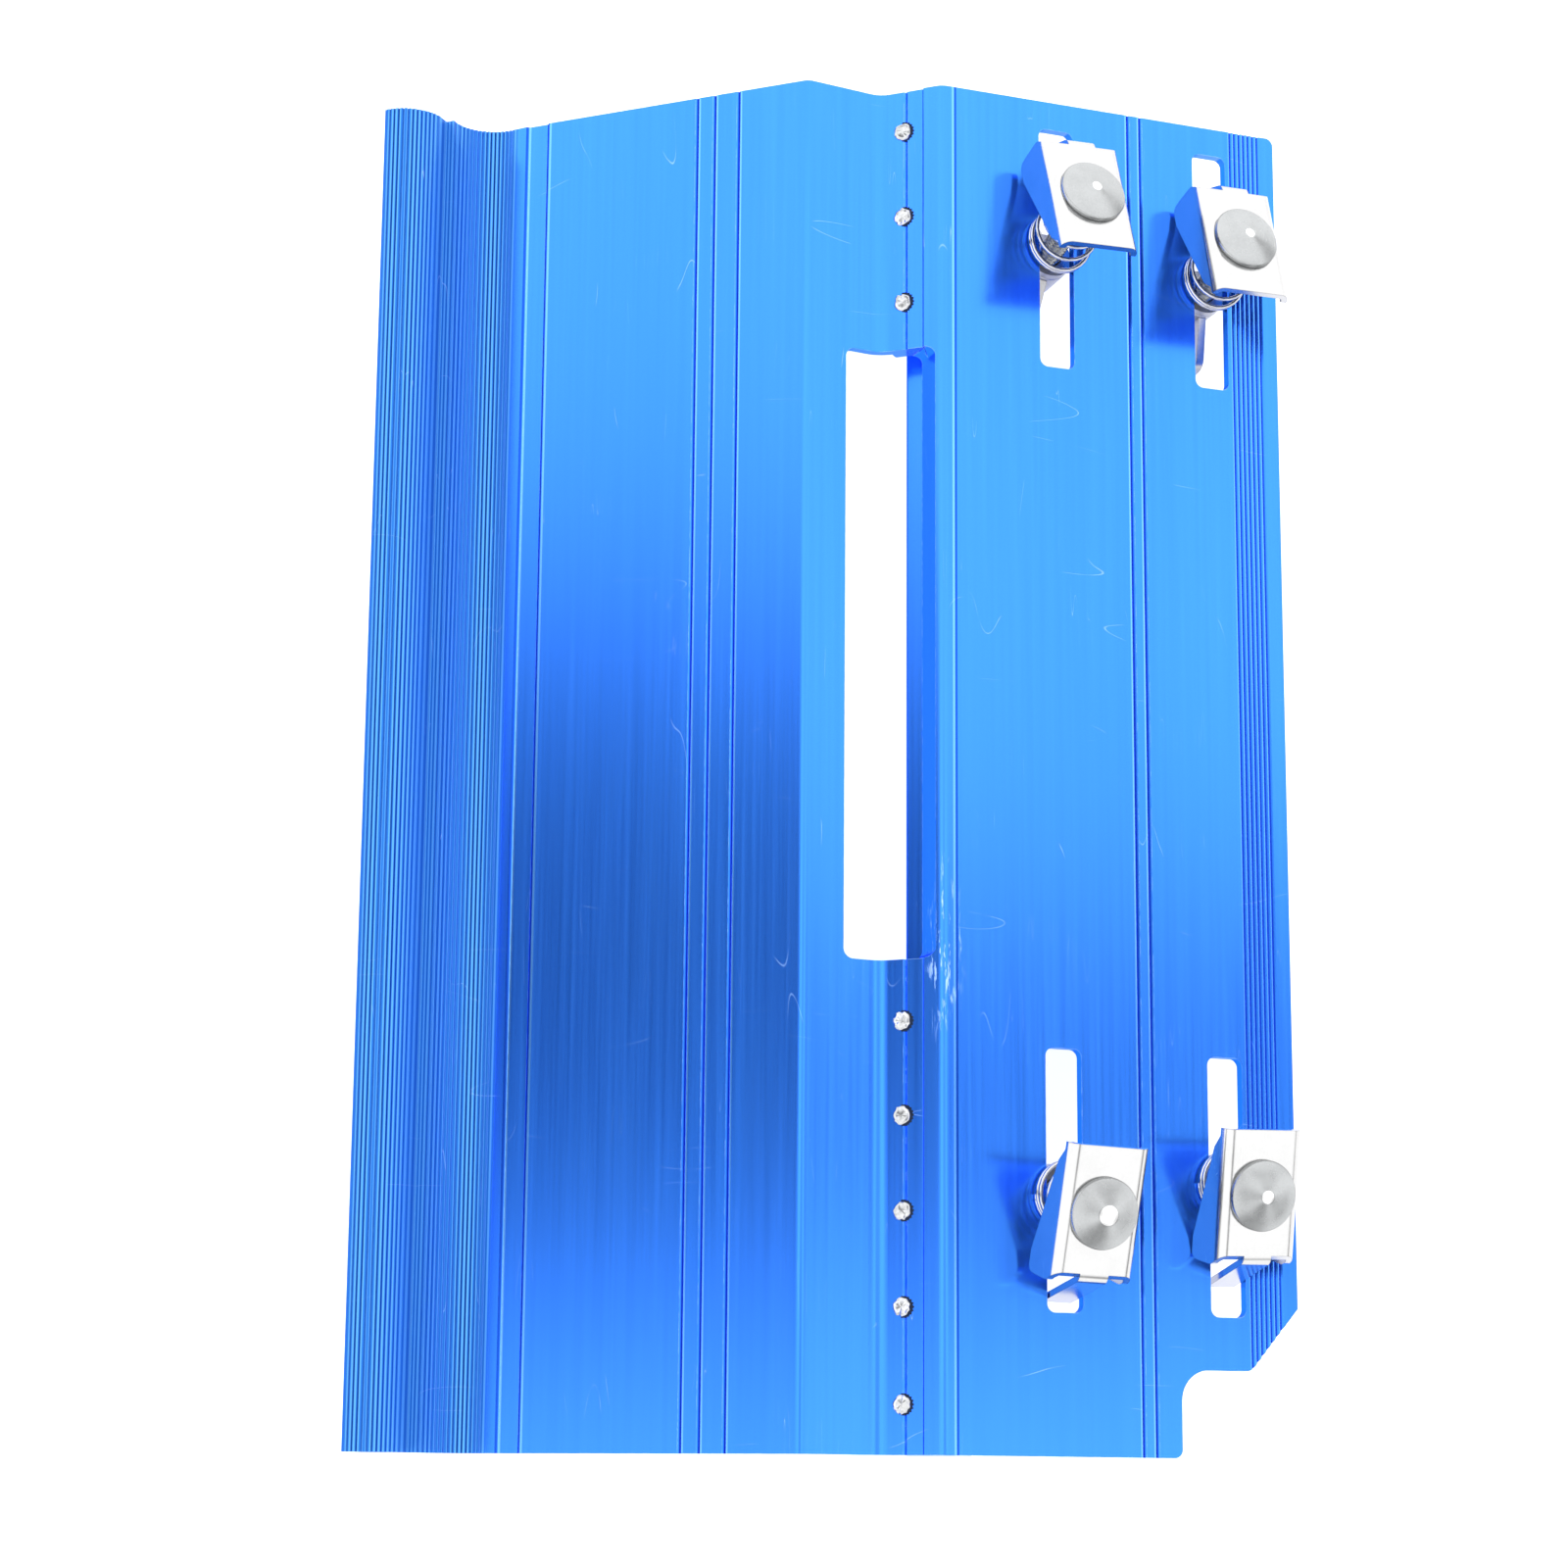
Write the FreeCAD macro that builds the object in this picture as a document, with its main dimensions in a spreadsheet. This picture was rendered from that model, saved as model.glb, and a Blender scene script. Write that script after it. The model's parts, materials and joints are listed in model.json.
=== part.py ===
import FreeCAD, Part
import math
import os

import Sketcher

V = FreeCAD.Vector

# ---------------------------------------------------------------- driving dimensions
# Bevel base plate: two aluminium extrusions riveted in a lap joint along a trough, and four
# sprung clamps standing in slots.  Millimetres.  X runs across the plate, Y along the
# extrusions, Z up.  The section is laid out from the apex, the corner where the sloping
# machine deck meets the trough's strip.

DIMENSIONS = [
    ("plate_length", 320.0, "length of both extrusions"),
    ("wall", 2.4, "wall of the extrusions"),
    ("deck_slope", 22.5, "slope of the deck, the sole and the strip, degrees"),
    ("deck_width", 89.0, "deck, apex to outer edge"),
    ("apex_radius", 3.0, "rounding of the apex"),
    ("strip_run", 16.1, "valley to apex along the strip"),
    ("strip_step", 0.6, "the strip lies this much below the apex flange"),
    ("strip_width", 11.0, "strip, valley to its free edge"),
    ("strip_gap", 0.2, "gap between the strip's edge and the apex flange"),
    ("valley_radius", 5.0, "rounding of the valley"),
    ("ridge_across", 31.65, "ridge, left of the apex"),
    ("ridge_height", 3.2, "ridge, above the apex"),
    ("ridge_radius", 2.5, "rounding of the ridge"),
    ("sole_width", 78.6, "flat sole, ridge to grip hollow"),
    ("ledge_depth", 9.5, "ledge's face below the strip's face"),
    ("ledge_wall", 2.2, "wall of the ledge and its web"),
    ("ledge_start", 2.9, "ledge's free edge, from the valley along the strip"),
    ("web_line", 18.2, "web's outer face, from the valley along the strip"),
    ("lap_start", 2.2, "lap flange's free edge, from the valley along the strip"),
    ("groove_width", 1.0, "marking groove"),
    ("groove_depth", 0.45, "marking groove"),
    ("strip_groove", 6.6, "strip's groove, from the valley along the strip"),
    ("channel_start", 69.3, "sole's channel, its right side, from the ridge"),
    ("channel_end", 75.4, "sole's channel, its left side, from the ridge"),
    ("channel_depth", 0.6, "sole's channel"),
    ("rib_depth", 0.45, "depth of the grip grooves"),
    ("hollow_radius", 9.6, "grip hollow"),
    ("bump_radius", 9.4, "grip bump"),
    ("core_radius", 3.6, "core through the grip"),
    ("blade_slot_width", 18.7, "blade slot, across"),
    ("blade_slot_length", 145.0, "blade slot, along"),
    ("blade_slot_start", 110.5, "blade slot's near end"),
    ("blade_slot_side", 1.3, "apex to the blade slot"),
    ("blade_slot_corner", 2.4, "corner radius of the blade slot"),
    ("blade_slot_depth", 13.6, "cut in the deck extrusion, which spares the ledge"),
    ("clamp_slot_width", 9.0, "clamp slot"),
    ("clamp_slot_length", 59.6, "clamp slot"),
    ("clamp_slot_corner", 2.0, "corner radius of a clamp slot"),
    ("near_slot_start", 31.7, "near pair of clamp slots, near end"),
    ("far_slot_start", 253.4, "far pair of clamp slots, near end"),
    ("inner_slot_line", 29.8, "centre line of the inner clamp slots"),
    ("outer_slot_line", 71.1, "centre line of the outer clamp slots"),
    ("notch_line", 58.8, "side of the corner notch"),
    ("notch_depth", 19.7, "depth of the corner notch"),
    ("notch_radius", 7.0, "inner corner of the notch"),
    ("notch_knee", 76.7, "where the notch turns into its chamfer"),
    ("notch_end", 34.1, "chamfer's end on the deck's outer edge"),
    ("corner_radius", 2.0, "deck's outer far corner"),
    ("rivet_pitch", 21.35, "rivet spacing"),
    ("rivet_first", 11.0, "first rivet from the near end"),
    ("rivet_line", 5.8, "rivets, from the valley along the strip"),
    ("rivet_hole", 3.3, "rivet hole"),
    ("rivet_shank", 3.2, "rivet shank"),
    ("rivet_peen", 4.4, "peened end"),
    ("rivet_peen_height", 0.35, "peened end above the strip"),
    ("rivet_head", 6.0, "factory head"),
    ("rivet_head_height", 1.6, "factory head"),
    ("rivet_tail", 0.5, "shank's overlap with its factory head"),
    ("rivet_drill", 7.0, "drilling through strip and lap flange"),
    ("bolt_thread", 5.9, "M6 bolt over its thread"),
    ("bolt_length", 35.0, "bolt under its head"),
    ("bolt_head", 16.2, "bolt head"),
    ("bolt_rim", 1.3, "rim of the bolt head"),
    ("bolt_rise", 3.0, "height of the bolt head"),
    ("bolt_tip", 4.6, "flat on top of the bolt head"),
    ("bolt_neck", 6.0, "square neck"),
    ("bolt_neck_depth", 2.6, "square neck below the head"),
    ("neck_hole", 6.2, "square hole in the clamp plate"),
    ("clamp_width", 19.8, "clamp plate over its cheeks"),
    ("clamp_reach", 14.8, "clamp plate, bolt to either end"),
    ("clamp_sheet", 1.5, "clamp plate sheet"),
    ("clamp_bend", 2.6, "outside of the clamp plate's bends"),
    ("cheek_depth", 13.0, "lowest point of a cheek's foot"),
    ("cheek_overhang", 1.5, "cheeks past the heel end of the plate"),
    ("foot_length", 5.0, "cheek's foot, its level edge"),
    ("nose_depth", 2.8, "cheeks at the nose"),
    ("tongue_width", 7.0, "locating tongue"),
    ("tongue_reach", 19.0, "locating tongue past its bend"),
    ("tongue_angle", 26.5, "tongue from the plate's normal, degrees"),
    ("spring_wire", 1.0, "spring wire"),
    ("spring_base", 15.0, "mean diameter of the lowest coil"),
    ("spring_top", 14.0, "mean diameter of the top coil"),
    ("spring_turns", 6.5, "turns in all"),
    ("spring_closed", 1.8, "closed turns on the deck"),
    ("spring_gap", 0.2, "play at either end of the spring"),
    ("washer_outer", 12.0, "M6 washer"),
    ("washer_inner", 6.6, "M6 washer hole"),
    ("washer_sheet", 1.6, "M6 washer"),
    ("washer_drop", 3.4, "washer's top face below the pivot"),
    ("nut_gap", 0.1, "play between washer and wing nut"),
    ("nut_bore", 6.0, "wing nut's bore, over its thread"),
    ("nut_hub", 12.0, "wing nut's hub at the washer"),
    ("nut_crown", 9.4, "wing nut's hub at its far end"),
    ("nut_height", 8.0, "wing nut's hub"),
    ("nut_span", 32.0, "wing nut over its wings"),
    ("nut_wing", 2.0, "wing thickness"),
    ("nut_depth", 16.5, "wing nut, washer to the wing tips"),
    ("apex_across", 26.25, "apex, right of the frame's origin"),
    ("apex_height", 52.4, "apex, above the frame's origin"),
]

# Each clamp: name, slot line, pivot along Y, plate's face over the pivot, outward lean,
# turn about the bolt, turn of its wing nut, and whether it stands at the near end.
CLAMPS = [
    ("far_inner", "inner_slot_line", 284.1, 21.25, 16.8, 1.9, 78.0, False),
    ("far_outer", "outer_slot_line", 280.4, 19.15, 15.0, 1.0, 95.0, False),
    ("near_inner", "inner_slot_line", 58.2, 21.25, 15.5, -1.8, 20.0, True),
    ("near_outer", "outer_slot_line", 62.3, 18.05, 13.0, 1.7, -15.0, True),
]

doc = FreeCAD.newDocument("bevel_base_plate")
sheet = doc.addObject("Spreadsheet::Sheet", "dimensions")
for row, (alias, value, note) in enumerate(DIMENSIONS, start=1):
    sheet.set("A%d" % row, alias)
    sheet.set("B%d" % row, str(value))
    sheet.set("C%d" % row, note)
    sheet.setAlias("B%d" % row, alias)
doc.recompute()


def dim(name):
    return float(sheet.get(name))


def cell(alias):
    return "dimensions." + alias


WALL = dim("wall")
SLOPE = dim("deck_slope")
LENGTH = dim("plate_length")
PARTS = []

# Deck frame: origin on the apex at the near end, x down the deck, z out of the deck's face.
DECK_FRAME = FreeCAD.Placement(
    V(dim("apex_across"), -LENGTH / 2.0, dim("apex_height")),
    FreeCAD.Rotation(V(0, 1, 0), SLOPE),
)


# ---------------------------------------------------------------- outline helpers

def along(start, heading, distance, lift=0.0):
    """Point at a distance along a heading in degrees, lifted square to its left."""
    turn = math.radians(heading)
    x = start[0] + distance * math.cos(turn) - lift * math.sin(turn)
    y = start[1] + distance * math.sin(turn) + lift * math.cos(turn)
    return (x, y)


def crossing(start_a, heading_a, start_b, heading_b):
    """Where two lines meet, each a start and a heading in degrees."""
    ax, ay = math.cos(math.radians(heading_a)), math.sin(math.radians(heading_a))
    bx, by = math.cos(math.radians(heading_b)), math.sin(math.radians(heading_b))
    dx, dy = start_b[0] - start_a[0], start_b[1] - start_a[1]
    distance = (dx * by - dy * bx) / (ax * by - ay * bx)
    return (start_a[0] + distance * ax, start_a[1] + distance * ay)


def corner(point, radius=0.0):
    return (point[0], point[1], radius)


def groove(start, heading, distance, width, depth):
    """V groove in a straight face; a positive depth lies to the right of the heading."""
    return [
        corner(along(start, heading, distance - width / 2.0)),
        corner(along(start, heading, distance, -depth)),
        corner(along(start, heading, distance + width / 2.0)),
    ]


def ribbed_arc(centre, radius, first_angle, last_angle, count, depth):
    """Corners of an arc with V grooves between its ribs; a positive depth cuts inwards."""
    corners = []
    step = (last_angle - first_angle) / count
    for index in range(count):
        for share, sink in ((0.0, 0.0), (0.3, 0.0), (0.6, 0.0), (0.8, depth)):
            angle = first_angle + (index + share) * step
            corners.append(corner(along(centre, angle, radius - sink)))
    corners.append(corner(along(centre, last_angle, radius)))
    return corners


def rounded_outline(corners):
    """Closed outline of lines and tangent arcs from (x, y, radius) corners."""
    spans = []
    edges = []
    for index, (x, y, radius) in enumerate(corners):
        point = V(x, y, 0)
        if radius <= 0:
            spans.append((point, point))
            continue
        before = V(corners[index - 1][0], corners[index - 1][1], 0) - point
        following = corners[(index + 1) % len(corners)]
        after = V(following[0], following[1], 0) - point
        before.normalize()
        after.normalize()
        half = before.getAngle(after) / 2.0
        bisector = before + after
        bisector.normalize()
        middle = point + bisector * (radius / math.sin(half) - radius)
        first = point + before * (radius / math.tan(half))
        last = point + after * (radius / math.tan(half))
        edges.append(Part.Arc(first, middle, last))
        spans.append((first, last))
    for index, span in enumerate(spans):
        following = spans[(index + 1) % len(spans)]
        edges.append(Part.LineSegment(span[1], following[0]))
    return edges


def rectangle(x0, y0, x1, y1, radius=0.0):
    return rounded_outline([(x0, y0, radius), (x1, y0, radius), (x1, y1, radius), (x0, y1, radius)])


# ---------------------------------------------------------------- body helpers

def new_body(label, placement):
    body = doc.addObject("PartDesign::Body", label)
    body.Label = label
    body.Placement = placement
    PARTS.append(body)
    return body


def new_sketch(body, name, role, edges, offset=None):
    sketch = body.newObject("Sketcher::SketchObject", body.Label + "_" + name)
    plane = [item for item in body.Origin.OriginFeatures if item.Role == role][0]
    sketch.AttachmentSupport = [(plane, "")]
    sketch.MapMode = "FlatFace"
    if offset is not None:
        sketch.AttachmentOffset = offset
    sketch.addGeometry(edges, False)
    doc.recompute()
    return sketch


def bind_circles(sketch, alias):
    """Tie every circle of a sketch to one diameter of the sheet."""
    for index in range(sketch.GeometryCount):
        number = sketch.addConstraint(Sketcher.Constraint("Diameter", index, dim(alias)))
        sketch.setExpression("Constraints[%d]" % number, cell(alias))
    doc.recompute()


def pad(body, name, sketch, length, reverse=False, middle=False):
    feature = body.newObject("PartDesign::Pad", body.Label + "_" + name)
    feature.Profile = sketch
    feature.Reversed = reverse
    feature.Midplane = middle
    feature.setExpression("Length", length)
    doc.recompute()
    return feature


def pocket(body, name, sketch, length=None):
    """Cut both ways through everything, or to a depth below the sketch."""
    before = body.Shape.Volume
    feature = body.newObject("PartDesign::Pocket", body.Label + "_" + name)
    feature.Profile = sketch
    if length is None:
        feature.Type = "ThroughAll"
        feature.Midplane = True
    else:
        feature.setExpression("Length", length)
    doc.recompute()
    if body.Shape.Volume > before - 1e-3:
        raise RuntimeError(feature.Name + " cut nothing")
    return feature


def revolve(body, name, corners):
    """Turn an outline in the body's XZ plane about its z axis."""
    sketch = new_sketch(body, name + "_profile", "XZ_Plane", rounded_outline(corners))
    feature = body.newObject("PartDesign::Revolution", body.Label + "_" + name)
    feature.Profile = sketch
    feature.ReferenceAxis = (sketch, ["V_Axis"])
    feature.Angle = 360.0
    doc.recompute()
    return feature


def lifted(height):
    return FreeCAD.Placement(V(0, 0, height), FreeCAD.Rotation())


# ---------------------------------------------------------------- section of the plate
# Points of the section are level: x across, y up, from the apex.

APEX = (0.0, 0.0)
STRIP_TURN = SLOPE
VALLEY = along(APEX, STRIP_TURN, -dim("strip_run"), -dim("strip_step"))
RIDGE = (-dim("ridge_across"), dim("ridge_height"))
SOLE_TURN = STRIP_TURN + 180.0
FACET_TURN = math.degrees(math.atan2(RIDGE[1] - VALLEY[1], RIDGE[0] - VALLEY[0]))
SOLE_GROOVES = (18.2, 24.5, 29.1)
HOLLOW_CENTRE = (-109.4, -19.1)
BUMP_CENTRE = (-130.3, -23.0)
CORE_CENTRE = (-128.6, -21.5)
DECK_GROOVES = (49.2, 52.5)
DECK_RIBS = [77.25 + 1.25 * index for index in range(7)]


def deck_corners(corners):
    """Level corners turned into the deck frame."""
    turn = math.radians(SLOPE)
    turned = []
    for x, y, radius in corners:
        u = x * math.cos(turn) - y * math.sin(turn)
        w = x * math.sin(turn) + y * math.cos(turn)
        turned.append((u, w, radius))
    return turned


def at_strip(run, lift=0.0):
    return along(VALLEY, STRIP_TURN, run, lift)


def rivet_places():
    """An even row of fifteen places; the blade slot leaves eight."""
    first = dim("blade_slot_start")
    last = first + dim("blade_slot_length")
    row = [dim("rivet_first") + dim("rivet_pitch") * index for index in range(15)]
    return [y for y in row if y < first or y > last]


def blade_slot_outline():
    right = -dim("blade_slot_side")
    near = dim("blade_slot_start")
    return rectangle(
        right - dim("blade_slot_width"), near,
        right, near + dim("blade_slot_length"), dim("blade_slot_corner"))


def rivet_sketch(body, name, diameter, lift):
    """Circles on a plane parallel to the strip, at a height over its face."""
    seat = deck_corners([corner(at_strip(dim("rivet_line"), lift))])[0]
    plane = FreeCAD.Placement(
        V(seat[0], 0, seat[1]), FreeCAD.Rotation(V(0, 1, 0), -SLOPE - STRIP_TURN))
    circles = [Part.Circle(V(0, y, 0), V(0, 0, 1), dim(diameter) / 2.0) for y in rivet_places()]
    sketch = new_sketch(body, name, "XY_Plane", circles, plane)
    bind_circles(sketch, diameter)
    return sketch


def drill_rivet_holes(body):
    """Holes through strip and lap flange, started clear above the strip."""
    clear = (dim("rivet_drill") - 2.0 * WALL) / 2.0
    holes = rivet_sketch(body, "holes", "rivet_hole", clear)
    pocket(body, "rivet_holes", holes, cell("rivet_drill"))


def make_sole_plate():
    """Grip, sole, ridge, facet, valley and the strip that laps over the deck extrusion."""
    body = new_body("sole_plate", DECK_FRAME)
    rib = dim("rib_depth")
    underside_ridge = crossing(
        along(RIDGE, SOLE_TURN, 0, WALL), SOLE_TURN, along(RIDGE, FACET_TURN, 0, WALL), FACET_TURN)
    underside_valley = crossing(
        along(VALLEY, FACET_TURN, 0, WALL), FACET_TURN, at_strip(0, -WALL), STRIP_TURN)
    strip_end = at_strip(dim("strip_width"))
    corners = [corner(strip_end, 0.25)]
    corners += reversed(groove(
        VALLEY, STRIP_TURN, dim("strip_groove"), dim("groove_width"), dim("groove_depth")))
    corners.append(corner(VALLEY, dim("valley_radius")))
    corners.append(corner(RIDGE, dim("ridge_radius")))
    for distance in SOLE_GROOVES:
        corners += groove(RIDGE, SOLE_TURN, distance, dim("groove_width"), -dim("groove_depth"))
    deep = dim("channel_depth")
    for distance, lift in (
        (dim("channel_start"), 0.0),
        (dim("channel_start") + deep, deep),
        (dim("channel_end") - deep, deep),
        (dim("channel_end"), 0.0),
    ):
        corners.append(corner(along(RIDGE, SOLE_TURN, distance, lift)))
    corners += ribbed_arc(HOLLOW_CENTRE, dim("hollow_radius"), 301.0, 194.0, 17, -rib)
    corners.append((-120.6, -22.4, 0.2))
    corners += ribbed_arc(BUMP_CENTRE, dim("bump_radius"), 27.0, 118.0, 13, rib)
    corners.append((-134.9, -20.5, 2.5))
    corners.append((-131.0, -27.0, 4.0))
    corners.append(corner(along(RIDGE, SOLE_TURN, 84.0, WALL), 8.0))
    corners.append(corner(underside_ridge, 0.6))
    corners.append(corner(underside_valley, dim("valley_radius") + WALL))
    corners.append(corner(at_strip(dim("strip_width"), -WALL)))
    edges = rounded_outline(deck_corners(corners))
    core = deck_corners([corner(CORE_CENTRE)])[0]
    edges.append(Part.Circle(V(core[0], core[1], 0), V(0, 0, 1), dim("core_radius")))
    section = new_sketch(body, "section", "XZ_Plane", edges)
    pad(body, "extrusion", section, cell("plate_length"), reverse=True)
    pocket(body, "blade_slot", new_sketch(body, "slot", "XY_Plane", blade_slot_outline()))
    drill_rivet_holes(body)


def make_deck_plate():
    """Deck, apex, lap flange under the strip, and the hooked ledge hanging below them."""
    body = new_body("deck_plate", DECK_FRAME)
    deck_turn = -SLOPE
    width = dim("deck_width")
    lap = -WALL
    web = dim("web_line")
    ledge = -dim("ledge_depth")
    root = crossing(at_strip(web), STRIP_TURN - 90.0, along(APEX, deck_turn, 0, -WALL), deck_turn)
    shoulder = dim("strip_width") + dim("strip_gap")
    corners = [corner(APEX, dim("apex_radius"))]
    for distance in DECK_GROOVES:
        corners += groove(APEX, deck_turn, distance, dim("groove_width"), dim("groove_depth"))
    for distance in DECK_RIBS:
        corners += groove(APEX, deck_turn, distance, dim("groove_width"), dim("rib_depth"))
    corners.append(corner(along(APEX, deck_turn, width)))
    corners.append(corner(along(APEX, deck_turn, width, -WALL)))
    corners.append(corner(root, 1.5))
    corners.append(corner(at_strip(web, ledge - dim("ledge_wall")), 1.5))
    corners.append(corner(at_strip(dim("ledge_start"), ledge - dim("ledge_wall")), 0.5))
    corners.append(corner(at_strip(dim("ledge_start"), ledge), 0.5))
    corners.append(corner(at_strip(web - dim("ledge_wall"), ledge), 0.8))
    corners.append(corner(at_strip(web - dim("ledge_wall"), lap - WALL), 0.8))
    corners.append(corner(at_strip(dim("lap_start"), lap - WALL), 0.4))
    corners.append(corner(at_strip(dim("lap_start"), lap)))
    corners.append(corner(at_strip(shoulder, lap)))
    corners.append(corner(at_strip(shoulder, dim("strip_step")), 0.3))
    section = new_sketch(body, "section", "XZ_Plane", rounded_outline(deck_corners(corners)))
    pad(body, "extrusion", section, cell("plate_length"), reverse=True)
    slot = new_sketch(body, "slot", "XY_Plane", blade_slot_outline())
    pocket(body, "blade_slot", slot, cell("blade_slot_depth"))
    drill_rivet_holes(body)
    half = dim("clamp_slot_width") / 2.0
    slots = []
    for line in ("inner_slot_line", "outer_slot_line"):
        for start in ("near_slot_start", "far_slot_start"):
            near = dim(start)
            far = near + dim("clamp_slot_length")
            centre = dim(line)
            slots += rectangle(centre - half, near, centre + half, far, dim("clamp_slot_corner"))
    pocket(body, "clamp_slots", new_sketch(body, "slots", "XY_Plane", slots))
    depth = dim("notch_depth")
    notch = rounded_outline([
        (dim("notch_line"), -5.0, 0),
        (dim("notch_line"), depth, dim("notch_radius")),
        (dim("notch_knee"), depth, 3.0),
        (width, dim("notch_end"), 0),
        (width + 5.0, dim("notch_end"), 0),
        (width + 5.0, -5.0, 0),
    ])
    pocket(body, "corner_notch", new_sketch(body, "notch", "XY_Plane", notch))
    base = body.Tip
    names = []
    for index, edge in enumerate(base.Shape.Edges, start=1):
        middle = edge.CenterOfMass
        upright = abs(middle.z + WALL / 2.0) < 0.1
        at_far_corner = abs(middle.x - width) < 0.1 and abs(middle.y - LENGTH) < 0.1
        at_notch_corner = abs(middle.x - dim("notch_line")) < 0.1 and abs(middle.y) < 0.1
        if upright and (at_far_corner or at_notch_corner):
            names.append("Edge%d" % index)
    fillet = body.newObject("PartDesign::Fillet", "deck_plate_corners")
    fillet.Base = (base, names)
    fillet.setExpression("Radius", cell("corner_radius"))
    doc.recompute()


def make_rivets():
    """Eight rivets: a peened end on the strip, a shank, and a domed head under the lap."""
    body = new_body("rivets", DECK_FRAME)
    top = dim("rivet_peen_height")
    lap_underside = -2.0 * WALL
    peen = rivet_sketch(body, "peens", "rivet_peen", 0.0)
    pad(body, "peened_ends", peen, cell("rivet_peen_height"))
    shank = rivet_sketch(body, "shanks", "rivet_shank", top)
    shank_length = "%s + 2 * %s + %s" % (cell("rivet_peen_height"), cell("wall"), cell("rivet_tail"))
    pad(body, "shank_runs", shank, shank_length, reverse=True)
    head = rivet_sketch(body, "heads", "rivet_head", lap_underside)
    pad(body, "factory_heads", head, cell("rivet_head_height"), reverse=True)


# ---------------------------------------------------------------- clamps
# A clamp's frame has its origin on the pivot, where the bolt's axis crosses the middle of the
# deck's wall: z up the bolt, y outwards to the heel, x across.

def clamp_frame(clamp):
    name, line, place, face, lean, turn, wing_turn, near_end = clamp
    pivot = FreeCAD.Placement(V(dim(line), place, -WALL / 2.0), FreeCAD.Rotation())
    facing = FreeCAD.Placement(V(), FreeCAD.Rotation(V(0, 0, 1), 180.0 if near_end else 0.0))
    leaning = FreeCAD.Placement(V(), FreeCAD.Rotation(V(1, 0, 0), -lean))
    turned = FreeCAD.Placement(V(), FreeCAD.Rotation(V(0, 0, 1), turn))
    return DECK_FRAME * pivot * facing * leaning * turned


def make_clamp_plate(clamp):
    """Pressed channel: a flat top, two tapering cheeks and a tongue that reaches into the slot."""
    body = new_body("clamp_plate_" + clamp[0], clamp_frame(clamp) * lifted(clamp[3]))
    half = dim("clamp_width") / 2.0
    reach = dim("clamp_reach")
    thick = dim("clamp_sheet")
    bend = dim("clamp_bend")
    foot = dim("cheek_depth")
    heel = reach + dim("cheek_overhang")
    channel = [
        (-half, -foot, 0), (-half, 0, bend), (half, 0, bend), (half, -foot, 0),
        (half - thick, -foot, 0), (half - thick, -thick, bend - thick),
        (-half + thick, -thick, bend - thick), (-half + thick, -foot, 0),
    ]
    section = new_sketch(body, "section", "XZ_Plane", rounded_outline(channel), lifted(reach))
    channel_length = "2 * %s + %s" % (cell("clamp_reach"), cell("cheek_overhang"))
    pad(body, "channel", section, channel_length, reverse=True)
    nose = dim("nose_depth")
    below = -foot - 5.0
    clearing = [
        (-reach - 1.0, -nose, 0), (-reach + 1.8, -nose, 1.0), (-reach + 4.6, -nose - 2.6, 1.4),
        (heel - dim("foot_length"), -foot, 2.0), (heel - 0.3, -foot, 1.8),
        (heel, -foot + 3.0, 3.0), (heel, -3.6, 3.0), (heel - 3.2, 1.0, 0),
        (heel + 4.0, 1.0, 0), (heel + 4.0, below, 0), (-reach - 1.0, below, 0),
    ]
    pocket(body, "cheek_shape", new_sketch(body, "silhouette", "YZ_Plane", rounded_outline(clearing)))
    opening = rectangle(-half + thick + 0.4, reach, half - thick - 0.4, heel + 1.0)
    pocket(body, "heel_opening", new_sketch(body, "opening", "XY_Plane", opening, lifted(0.5)))
    bend_at = (reach + 0.6, 0.0)
    heading = -90.0 + dim("tongue_angle")
    tip = along(bend_at, heading, dim("tongue_reach"))
    inner = crossing((reach, -thick), 0.0, along(bend_at, heading, 0.0, -thick), heading)
    strip = [
        (reach - 5.0, 0, 0), corner(bend_at, 2.6), corner(tip, 0.5),
        corner(along(tip, heading, 0, -thick), 0.5), corner(inner, 1.1), (reach - 5.0, -thick, 0),
    ]
    tongue = new_sketch(body, "tongue_bend", "YZ_Plane", rounded_outline(strip))
    pad(body, "tongue", tongue, cell("tongue_width"), middle=True)
    side = dim("neck_hole") / 2.0
    pocket(body, "neck_hole", new_sketch(body, "square", "XY_Plane", rectangle(-side, -side, side, side)))


def make_clamp_bolt(clamp):
    """Carriage bolt: low conical head, square neck and a plain run for the thread."""
    body = new_body("clamp_bolt_" + clamp[0], clamp_frame(clamp) * lifted(clamp[3]))
    radius = dim("bolt_head") / 2.0
    shank = dim("bolt_thread") / 2.0
    end = -dim("bolt_length")
    revolve(body, "turned", [
        (0, dim("bolt_rise"), 0), (dim("bolt_tip") / 2.0, dim("bolt_rise"), 0.5),
        (radius, dim("bolt_rim"), 0.4), (radius, 0, 0.3), (shank, 0, 0),
        (shank, end + 0.7, 0), (shank - 0.7, end, 0), (0, end, 0),
    ])
    side = dim("bolt_neck") / 2.0
    square = new_sketch(body, "neck_square", "XY_Plane", rectangle(-side, -side, side, side, 0.4))
    pad(body, "neck", square, cell("bolt_neck_depth"), reverse=True)


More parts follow.
